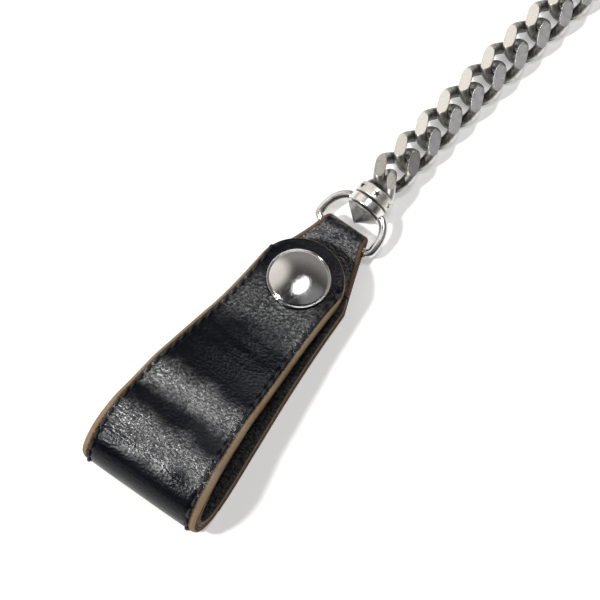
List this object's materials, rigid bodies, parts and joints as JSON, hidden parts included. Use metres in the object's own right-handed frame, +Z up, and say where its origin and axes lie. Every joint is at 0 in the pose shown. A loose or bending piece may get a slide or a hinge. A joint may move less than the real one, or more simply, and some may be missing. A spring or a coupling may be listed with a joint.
{
  "type": "wallet chain",
  "caption": "Curb wallet chain with a folded leather belt loop on a snap, a swivelling D-ring and a trigger clasp at the far end.",
  "frame": {"origin": "on the flat bottom of the belt loop's back, on its centre line, 30 mm from the snap's axis towards the fold", "axes": "+X along the belt loop from its fold towards the chain, +Z up out of the surface it lies on"},
  "size_m": [0.2366, 0.1378, 0.0171],
  "materials": {
    "leather": "semi-gloss, fine grain",
    "lining": "matt",
    "nickel": "polished",
    "silver": "brushed, oxidised recesses",
    "steel": "plain"
  },
  "bodies": {
    "root": {"strap_back": "leather", "back_lining": "lining", "snap_stud": "nickel", "snap_post": "nickel"},
    "flap": {"flap_outer": "leather", "flap_lining": "lining", "snap_cap": "nickel", "snap_socket": "nickel", "snap_spring": "steel"},
    "ring": {"d_ring": "nickel"},
    "swivel": {"swivel_pin": "silver", "swivel_barrel": "silver"},
    "link_01": {"link_01": "silver"},
    "link_02": {"link_02": "silver"},
    "link_03": {"link_03": "silver"},
    "link_04": {"link_04": "silver"},
    "link_05": {"link_05": "silver"},
    "link_06": {"link_06": "silver"},
    "link_07": {"link_07": "silver"},
    "link_08": {"link_08": "silver"},
    "link_09": {"link_09": "silver"},
    "link_10": {"link_10": "silver"},
    "link_11": {"link_11": "silver"},
    "link_12": {"link_12": "silver"},
    "link_13": {"link_13": "silver"},
    "link_14": {"link_14": "silver"},
    "link_15": {"link_15": "silver"},
    "link_16": {"link_16": "silver"},
    "link_17": {"link_17": "silver"},
    "link_18": {"link_18": "silver"},
    "link_19": {"link_19": "silver"},
    "link_20": {"link_20": "silver"},
    "link_21": {"link_21": "silver"},
    "link_22": {"link_22": "silver"},
    "link_23": {"link_23": "silver"},
    "link_24": {"link_24": "silver"},
    "link_25": {"link_25": "silver"},
    "link_26": {"link_26": "silver"},
    "link_27": {"link_27": "silver"},
    "link_28": {"link_28": "silver"},
    "link_29": {"link_29": "silver"},
    "link_30": {"link_30": "silver"},
    "link_31": {"link_31": "silver"},
    "link_32": {"link_32": "silver"},
    "link_33": {"link_33": "silver"},
    "link_34": {"link_34": "silver"},
    "link_35": {"link_35": "silver"},
    "link_36": {"link_36": "silver"},
    "clasp_eye": {"clasp_eye": "silver"},
    "clasp_hook": {"clasp_hook": "silver", "clasp_pin": "steel", "clasp_spring": "steel"},
    "clasp_gate": {"clasp_gate": "silver"}
  },
  "joints": [
    {"name": "flap_open", "type": "hinge", "parent": "root", "child": "flap", "pos_m": [-0.0322, 0, 0.0085], "axis": [0, -1, 0], "range_deg": [0, 110]},
    {"name": "ring_swing", "type": "hinge", "parent": "root", "child": "ring", "pos_m": [0.0469, -0.0004, 0.00295], "axis": [-0.0872, -0.9962, 0], "range_deg": [-60, 70]},
    {"name": "swivel_turn", "type": "hinge", "parent": "ring", "child": "swivel", "pos_m": [0.05549, -0.00115, 0.0047], "axis": [0.998, -0.0349, 0.0523], "continuous": true},
    {"name": "link_01_lift", "type": "hinge", "parent": "swivel", "child": "link_01", "pos_m": [0.0635, -0.00083, 0.00491], "axis": [-0.0958, -0.9954, 0], "range_deg": [-15, 15]},
    {"name": "link_02_turn", "type": "hinge", "parent": "link_01", "child": "link_02", "pos_m": [0.07085, -0.00154, 0.0036], "axis": [0, 0, 1], "range_deg": [-8, 8]},
    {"name": "link_03_lift", "type": "hinge", "parent": "link_02", "child": "link_03", "pos_m": [0.07828, -0.00233, 0.00295], "axis": [0.1167, 0.9932, 0], "range_deg": [-15, 15]},
    {"name": "link_04_turn", "type": "hinge", "parent": "link_03", "child": "link_04", "pos_m": [0.08573, -0.00321, 0.00295], "axis": [0, 0, -1], "range_deg": [-8, 8]},
    {"name": "link_05_lift", "type": "hinge", "parent": "link_04", "child": "link_05", "pos_m": [0.09317, -0.00416, 0.00295], "axis": [-0.1374, -0.9905, 0], "range_deg": [-15, 15]},
    {"name": "link_06_turn", "type": "hinge", "parent": "link_05", "child": "link_06", "pos_m": [0.10059, -0.00519, 0.00295], "axis": [0, 0, 1], "range_deg": [-8, 8]},
    {"name": "link_07_lift", "type": "hinge", "parent": "link_06", "child": "link_07", "pos_m": [0.10801, -0.0063, 0.00295], "axis": [0.1582, 0.9874, 0], "range_deg": [-15, 15]},
    {"name": "link_08_turn", "type": "hinge", "parent": "link_07", "child": "link_08", "pos_m": [0.11542, -0.00749, 0.00295], "axis": [0, 0, -1], "range_deg": [-8, 8]},
    {"name": "link_09_lift", "type": "hinge", "parent": "link_08", "child": "link_09", "pos_m": [0.12282, -0.00867, 0.00295], "axis": [-0.1582, -0.9874, 0], "range_deg": [-15, 15]},
    {"name": "link_10_turn", "type": "hinge", "parent": "link_09", "child": "link_10", "pos_m": [0.13023, -0.00986, 0.00295], "axis": [0, 0, 1], "range_deg": [-8, 8]},
    {"name": "link_11_lift", "type": "hinge", "parent": "link_10", "child": "link_11", "pos_m": [0.13763, -0.01104, 0.00295], "axis": [0.1582, 0.9874, 0], "range_deg": [-15, 15]},
    {"name": "link_12_turn", "type": "hinge", "parent": "link_11", "child": "link_12", "pos_m": [0.14504, -0.01223, 0.00295], "axis": [0, 0, -1], "range_deg": [-8, 8]},
    {"name": "link_13_lift", "type": "hinge", "parent": "link_12", "child": "link_13", "pos_m": [0.15245, -0.01342, 0.00295], "axis": [-0.1582, -0.9874, 0], "range_deg": [-15, 15]},
    {"name": "link_14_turn", "type": "hinge", "parent": "link_13", "child": "link_14", "pos_m": [0.15985, -0.0146, 0.00295], "axis": [0, 0, 1], "range_deg": [-8, 8]},
    {"name": "link_15_lift", "type": "hinge", "parent": "link_14", "child": "link_15", "pos_m": [0.16726, -0.01579, 0.00295], "axis": [0.3272, 0.9449, 0], "range_deg": [-15, 15]},
    {"name": "link_16_turn", "type": "hinge", "parent": "link_15", "child": "link_16", "pos_m": [0.17434, -0.01824, 0.00295], "axis": [0, 0, -1], "range_deg": [-8, 8]},
    {"name": "link_17_lift", "type": "hinge", "parent": "link_16", "child": "link_17", "pos_m": [0.1809, -0.02189, 0.00295], "axis": [-0.6307, -0.776, 0], "range_deg": [-15, 15]},
    {"name": "link_18_turn", "type": "hinge", "parent": "link_17", "child": "link_18", "pos_m": [0.18672, -0.02662, 0.00295], "axis": [0, 0, 1], "range_deg": [-8, 8]},
    {"name": "link_19_lift", "type": "hinge", "parent": "link_18", "child": "link_19", "pos_m": [0.19163, -0.03229, 0.00295], "axis": [0.8581, 0.5135, 0], "range_deg": [-15, 15]},
    {"name": "link_20_turn", "type": "hinge", "parent": "link_19", "child": "link_20", "pos_m": [0.19548, -0.03873, 0.00295], "axis": [0, 0, -1], "range_deg": [-8, 8]},
    {"name": "link_21_lift", "type": "hinge", "parent": "link_20", "child": "link_21", "pos_m": [0.19816, -0.04573, 0.00295], "axis": [-0.982, -0.1891, 0], "range_deg": [-15, 15]},
    {"name": "link_22_turn", "type": "hinge", "parent": "link_21", "child": "link_22", "pos_m": [0.19957, -0.0531, 0.00295], "axis": [0, 0, 1], "range_deg": [-8, 8]},
    {"name": "link_23_lift", "type": "hinge", "parent": "link_22", "child": "link_23", "pos_m": [0.19969, -0.0606, 0.00295], "axis": [0.9874, -0.1582, 0], "range_deg": [-15, 15]},
    {"name": "link_24_turn", "type": "hinge", "parent": "link_23", "child": "link_24", "pos_m": [0.19851, -0.068, 0.00295], "axis": [0, 0, -1], "range_deg": [-8, 8]},
    {"name": "link_25_lift", "type": "hinge", "parent": "link_24", "child": "link_25", "pos_m": [0.19605, -0.07509, 0.00295], "axis": [-0.8738, 0.4863, 0], "range_deg": [-15, 15]},
    {"name": "link_26_turn", "type": "hinge", "parent": "link_25", "child": "link_26", "pos_m": [0.1924, -0.08164, 0.00295], "axis": [0, 0, 1], "range_deg": [-8, 8]},
    {"name": "link_27_lift", "type": "hinge", "parent": "link_26", "child": "link_27", "pos_m": [0.18767, -0.08746, 0.00295], "axis": [0.6547, -0.7559, 0], "range_deg": [-15, 15]},
    {"name": "link_28_turn", "type": "hinge", "parent": "link_27", "child": "link_28", "pos_m": [0.182, -0.09237, 0.00295], "axis": [0, 0, -1], "range_deg": [-8, 8]},
    {"name": "link_29_lift", "type": "hinge", "parent": "link_28", "child": "link_29", "pos_m": [0.17557, -0.09622, 0.00295], "axis": [-0.3567, 0.9342, 0], "range_deg": [-15, 15]},
    {"name": "link_30_turn", "type": "hinge", "parent": "link_29", "child": "link_30", "pos_m": [0.16856, -0.0989, 0.00295], "axis": [0, 0, 1], "range_deg": [-8, 8]},
    {"name": "link_31_lift", "type": "hinge", "parent": "link_30", "child": "link_31", "pos_m": [0.1612, -0.10032, 0.00295], "axis": [0.1891, -0.982, 0], "range_deg": [-15, 15]},
    {"name": "link_32_turn", "type": "hinge", "parent": "link_31", "child": "link_32", "pos_m": [0.15383, -0.10174, 0.00295], "axis": [0, 0, -1], "range_deg": [-8, 8]},
    {"name": "link_33_lift", "type": "hinge", "parent": "link_32", "child": "link_33", "pos_m": [0.14647, -0.10315, 0.00295], "axis": [-0.1891, 0.982, 0], "range_deg": [-15, 15]},
    {"name": "link_34_turn", "type": "hinge", "parent": "link_33", "child": "link_34", "pos_m": [0.1391, -0.10457, 0.00295], "axis": [0, 0, 1], "range_deg": [-8, 8]},
    {"name": "link_35_lift", "type": "hinge", "parent": "link_34", "child": "link_35", "pos_m": [0.13174, -0.10599, 0.00295], "axis": [0.1891, -0.982, 0], "range_deg": [-15, 15]},
    {"name": "link_36_turn", "type": "hinge", "parent": "link_35", "child": "link_36", "pos_m": [0.12437, -0.10741, 0.00295], "axis": [0, 0, -1], "range_deg": [-8, 8]},
    {"name": "clasp_eye_lift", "type": "hinge", "parent": "link_36", "child": "clasp_eye", "pos_m": [0.11701, -0.10883, 0.00295], "axis": [-0.1891, 0.982, 0], "range_deg": [-15, 5]},
    {"name": "clasp_turn", "type": "hinge", "parent": "clasp_eye", "child": "clasp_hook", "pos_m": [0.1121, -0.10977, 0.00315], "axis": [-0.982, -0.1891, 0], "continuous": true},
    {"name": "gate_open", "type": "hinge", "parent": "clasp_hook", "child": "clasp_gate", "pos_m": [0.10292, -0.11765, 0.00315], "axis": [0, 0, -1], "range_deg": [0, 25], "stiffness_Nm_per_rad": 0.004, "springref_deg": -20.05, "deforming": ["clasp_spring"]}
  ]
}
